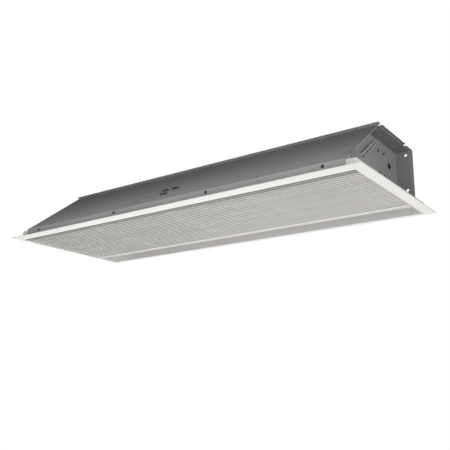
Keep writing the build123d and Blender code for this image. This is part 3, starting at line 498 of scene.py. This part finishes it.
def intake_bars():
    """The row of bars between the grille's rails, with softened edges."""
    low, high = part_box("grille_bars")
    pitch = (high.y - low.y - BAR_WIDTH) / (BAR_COUNT - 1)
    first = Vector((0, low.y + BAR_WIDTH / 2, (low.z + high.z) / 2))
    carrier = helper("bar_carrier", bpy.data.meshes.new("bar_carrier"))
    mesh = grow(bar_tree(), carrier, {
        "Bars": BAR_COUNT, "First": first, "Pitch": Vector((0, pitch, 0)),
        "Half Length": Vector((high.x, 0, 0)), "Width": BAR_WIDTH, "Height": high.z - low.z, "Edge": BAR_EDGE,
        "Finish": finishes["grille"],
    })
    return mesh_piece("intake_bars", mesh, "grille", "intake_grille", ["grille_bars"], sharp=50)


# Fixings

def skirt_screws():
    """Screws along each long side's skirt, no two turned alike."""
    low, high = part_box("skirt_screws")
    z = (high.z + low.z) / 2
    reach = high.x - SCREW_HEAD_RADIUS
    places = []
    for i in range(SKIRT_SCREWS_A_SIDE):
        x = -reach + 2 * reach * i / (SKIRT_SCREWS_A_SIDE - 1)
        places.append((Vector((x, low.y + SCREW_HEAD_HEIGHT, z)), (0, -1, 0), 0.4 + 0.9 * i))
        places.append((Vector((x, high.y - SCREW_HEAD_HEIGHT, z)), (0, 1, 0), 1.1 + 0.7 * i))
    shape = cross_recessed_head(SKIRT_SHANK)
    return fixing_row("skirt_screw_heads", shape, places, "dark_fixing_and_painted_shade", ["skirt_screws"])


def bearing_screws():
    """Four screws round each end bearing, through the end pan."""
    low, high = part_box("bearing_plate_screws")
    places = []
    for side in (-1, 1):
        x = side * (high.x - SCREW_HEAD_HEIGHT)
        for j, y in enumerate((low.y + SCREW_HEAD_RADIUS, high.y - SCREW_HEAD_RADIUS)):
            for k, z in enumerate((low.z + SCREW_HEAD_RADIUS, high.z - SCREW_HEAD_RADIUS)):
                places.append((Vector((x, y, z)), (side, 0, 0), 0.3 + j + 0.6 * k))
    shape = cross_recessed_head(BEARING_SHANK)
    return fixing_row("bearing_screw_heads", shape, places, "dark_fixing_and_painted_shade", ["bearing_plate_screws"])


def slope_rivets():
    """Blind rivets with the broken mandrel down in the dome."""
    low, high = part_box("slope_rivets")
    radius, height, shank = 3.0, 1.2, 2.4
    profile = [
        (0, 0.5), (0.75, 0.5), (0.8, 1.12), (1.1, height), (2.1, 1.02), (2.8, 0.55), (radius, 0.18),
        (radius, 0.0), (1.6, 0.0), (1.6, -shank), (0, -shank),
    ]
    shape = turned("blind_rivet", [(r * MM, z * MM) for r, z in profile])
    middle = Vector((0, (low.y + high.y) / 2, (low.z + high.z) / 2))
    seat = middle + OFF_SLOPE * ((shank - height) / 2) * MM
    reach = (high.x - low.x) / 2 - radius * MM
    places = [(seat + Vector((x, 0, 0)), OFF_SLOPE, 0.0) for x in (-reach, 0, reach)]
    return fixing_row("slope_rivet_heads", shape, places, "dark_sheet", ["slope_rivets"])


# Tie hoods

def hood_grid(b, x_middle, run, half):
    """A hood's sheet: an arch at its mouth that comes down to the slope behind the slot, in millimetres."""
    across, along = 20, 7
    rows = []
    for i in range(across + 1):
        u = -1 + 2 * i / across
        arch = HOOD_RISE * (1 - abs(u) ** 3) ** 0.5
        row = []
        for j in range(along + 1):
            v = j / along
            lift = arch * math.cos(v * math.pi / 2) ** 0.8 if v < 1 else 0.0
            up = run - HOOD_MOUTH + HOOD_DEPTH * v
            place = SLOPE_FOOT + UP_SLOPE * up * MM + OFF_SLOPE * (HOOD_CLEARANCE + lift) * MM
            row.append(b.verts.new(place + Vector(((x_middle + half * u) * MM, 0, 0))))
        rows.append(row)
    for i in range(across):
        for j in range(along):
            b.faces.new((rows[i][j], rows[i + 1][j], rows[i + 1][j + 1], rows[i][j + 1]))


def tie_hoods():
    """Hoods over the three slots of the sloping side, open downwards, near-black as painted shade in the slots."""
    b = bmesh.new()
    for hood in TIE_HOODS:
        hood_grid(b, *hood)
    bmesh.ops.recalc_face_normals(b, faces=b.faces)
    mesh = bpy.data.meshes.new("tie_hoods")
    b.to_mesh(mesh)
    b.free()
    sheet = helper("tie_hoods_sheet", mesh)
    wall = sheet.modifiers.new("wall", "SOLIDIFY")
    wall.thickness = HOOD_WALL
    wall.offset = 0
    # The hoods take the near-black screw finish: painted shade at the slots, not the grey of the sheet they are
    # lanced from.
    return mesh_piece("tie_hoods", settled(sheet), "dark_fixing_and_painted_shade", "casing")


# Studio

def photo_camera():
    """Camera below and in front of the near long side."""
    level = math.cos(CAMERA_RISE)
    back = Vector((math.sin(CAMERA_TURN) * level, -math.cos(CAMERA_TURN) * level, math.sin(CAMERA_RISE)))
    right = Vector((math.cos(CAMERA_TURN), math.sin(CAMERA_TURN), 0))
    up = back.cross(right)
    rolled_right = right * math.cos(CAMERA_ROLL) + up * math.sin(CAMERA_ROLL)
    rolled_up = up * math.cos(CAMERA_ROLL) - right * math.sin(CAMERA_ROLL)
    lens = bpy.data.cameras.new("photo_camera")
    lens.sensor_width = SENSOR_WIDTH
    lens.lens = FOCAL_PIXELS / PHOTO_PIXELS * SENSOR_WIDTH
    lens.clip_start = 0.01
    lens.clip_end = 50
    camera = bpy.data.objects.new("photo_camera", lens)
    camera.matrix_world = Matrix.Translation(CAMERA_PLACE) @ Matrix(
        (rolled_right, rolled_up, back)
    ).transposed().to_4x4()
    bpy.context.scene.collection.objects.link(camera)
    bpy.context.scene.camera = camera


def studio_world():
    """A white surround to look at. The light and the reflections that it gives fall off upwards."""
    fill_light, reflected = 0.2, 1.0
    world = bpy.data.worlds.new("studio")
    bpy.context.scene.world = world
    world.use_nodes = True
    tree = world.node_tree
    tree.nodes.clear()

    def worked(operation, first, second):
        """A Math node's result for two values or sockets."""
        made = tree.nodes.new("ShaderNodeMath")
        made.operation = operation
        for socket, value in zip(made.inputs, (first, second)):
            if isinstance(value, bpy.types.NodeSocket):
                tree.links.new(value, socket)
            else:
                socket.default_value = value
        return made.outputs[0]

    ray = tree.nodes.new("ShaderNodeLightPath").outputs
    direction = tree.nodes.new("ShaderNodeTexCoord").outputs["Generated"]
    parts = tree.nodes.new("ShaderNodeSeparateXYZ")
    tree.links.new(direction, parts.inputs[0])
    fall = tree.nodes.new("ShaderNodeMapRange")
    fall.interpolation_type = "SMOOTHSTEP"
    tree.links.new(parts.outputs["Z"], fall.inputs["Value"])
    for name, value in (("From Min", -0.15), ("From Max", 0.5), ("To Min", 1.0), ("To Max", 0.12)):
        fall.inputs[name].default_value = value
    level = worked(
        "MAXIMUM", worked("MULTIPLY", ray["Is Glossy Ray"], reflected),
        worked("MULTIPLY", ray["Is Diffuse Ray"], fill_light)
    )
    given = worked("MULTIPLY", level, fall.outputs["Result"])
    seen = worked("MAXIMUM", ray["Is Camera Ray"], ray["Is Transmission Ray"])
    surround = tree.nodes.new("ShaderNodeBackground")
    surround.inputs["Color"].default_value = (1, 1, 1, 1)
    tree.links.new(worked("MAXIMUM", given, seen), surround.inputs["Strength"])
    out = tree.nodes.new("ShaderNodeOutputWorld")
    tree.links.new(surround.outputs[0], out.inputs["Surface"])


def soft_box(name, place, target, size, watts):
    """A rectangular lamp aimed at a point, unseen by the camera."""
    light = bpy.data.lights.new(name, "AREA")
    light.shape = "RECTANGLE"
    light.size, light.size_y = size
    light.energy = watts
    lamp = bpy.data.objects.new(name, light)
    lamp.location = place
    lamp.rotation_euler = (Vector(place) - Vector(target)).to_track_quat("Z", "Y").to_euler()
    lamp.visible_camera = False
    bpy.context.scene.collection.objects.link(lamp)


# The scene

slot_of = {part["node"]: part["material_slot"] for part in frame["record"]["subparts"]}
for name, node in frame["nodes"].items():
    node.data.materials.clear()
    node.data.materials.append(finishes[looks.get(name, slot_of[name])])

intake_bars()
skirt_screws()
bearing_screws()
slope_rivets()
tie_hoods()

photo_camera()
studio_world()
soft_box("front_strip", (0.0, -0.34, 0.13), (0, -0.15, 0.08), (1.3, 0.04), 0.72)
soft_box("low_front", (0.6, -1.6, -1.1), (0, 0, 0.05), (1.8, 0.8), 9.5)
soft_box("under", (-0.1, 0.1, -1.4), (0, 0, 0), (2.0, 1.2), 21)
soft_box("right_end", (1.7, -0.5, 0.0), (0.5, 0, 0.08), (0.6, 0.4), 8)
soft_box("behind", (0.3, 1.8, 1.0), (0, 0.1, 0.1), (1.6, 0.8), 14)
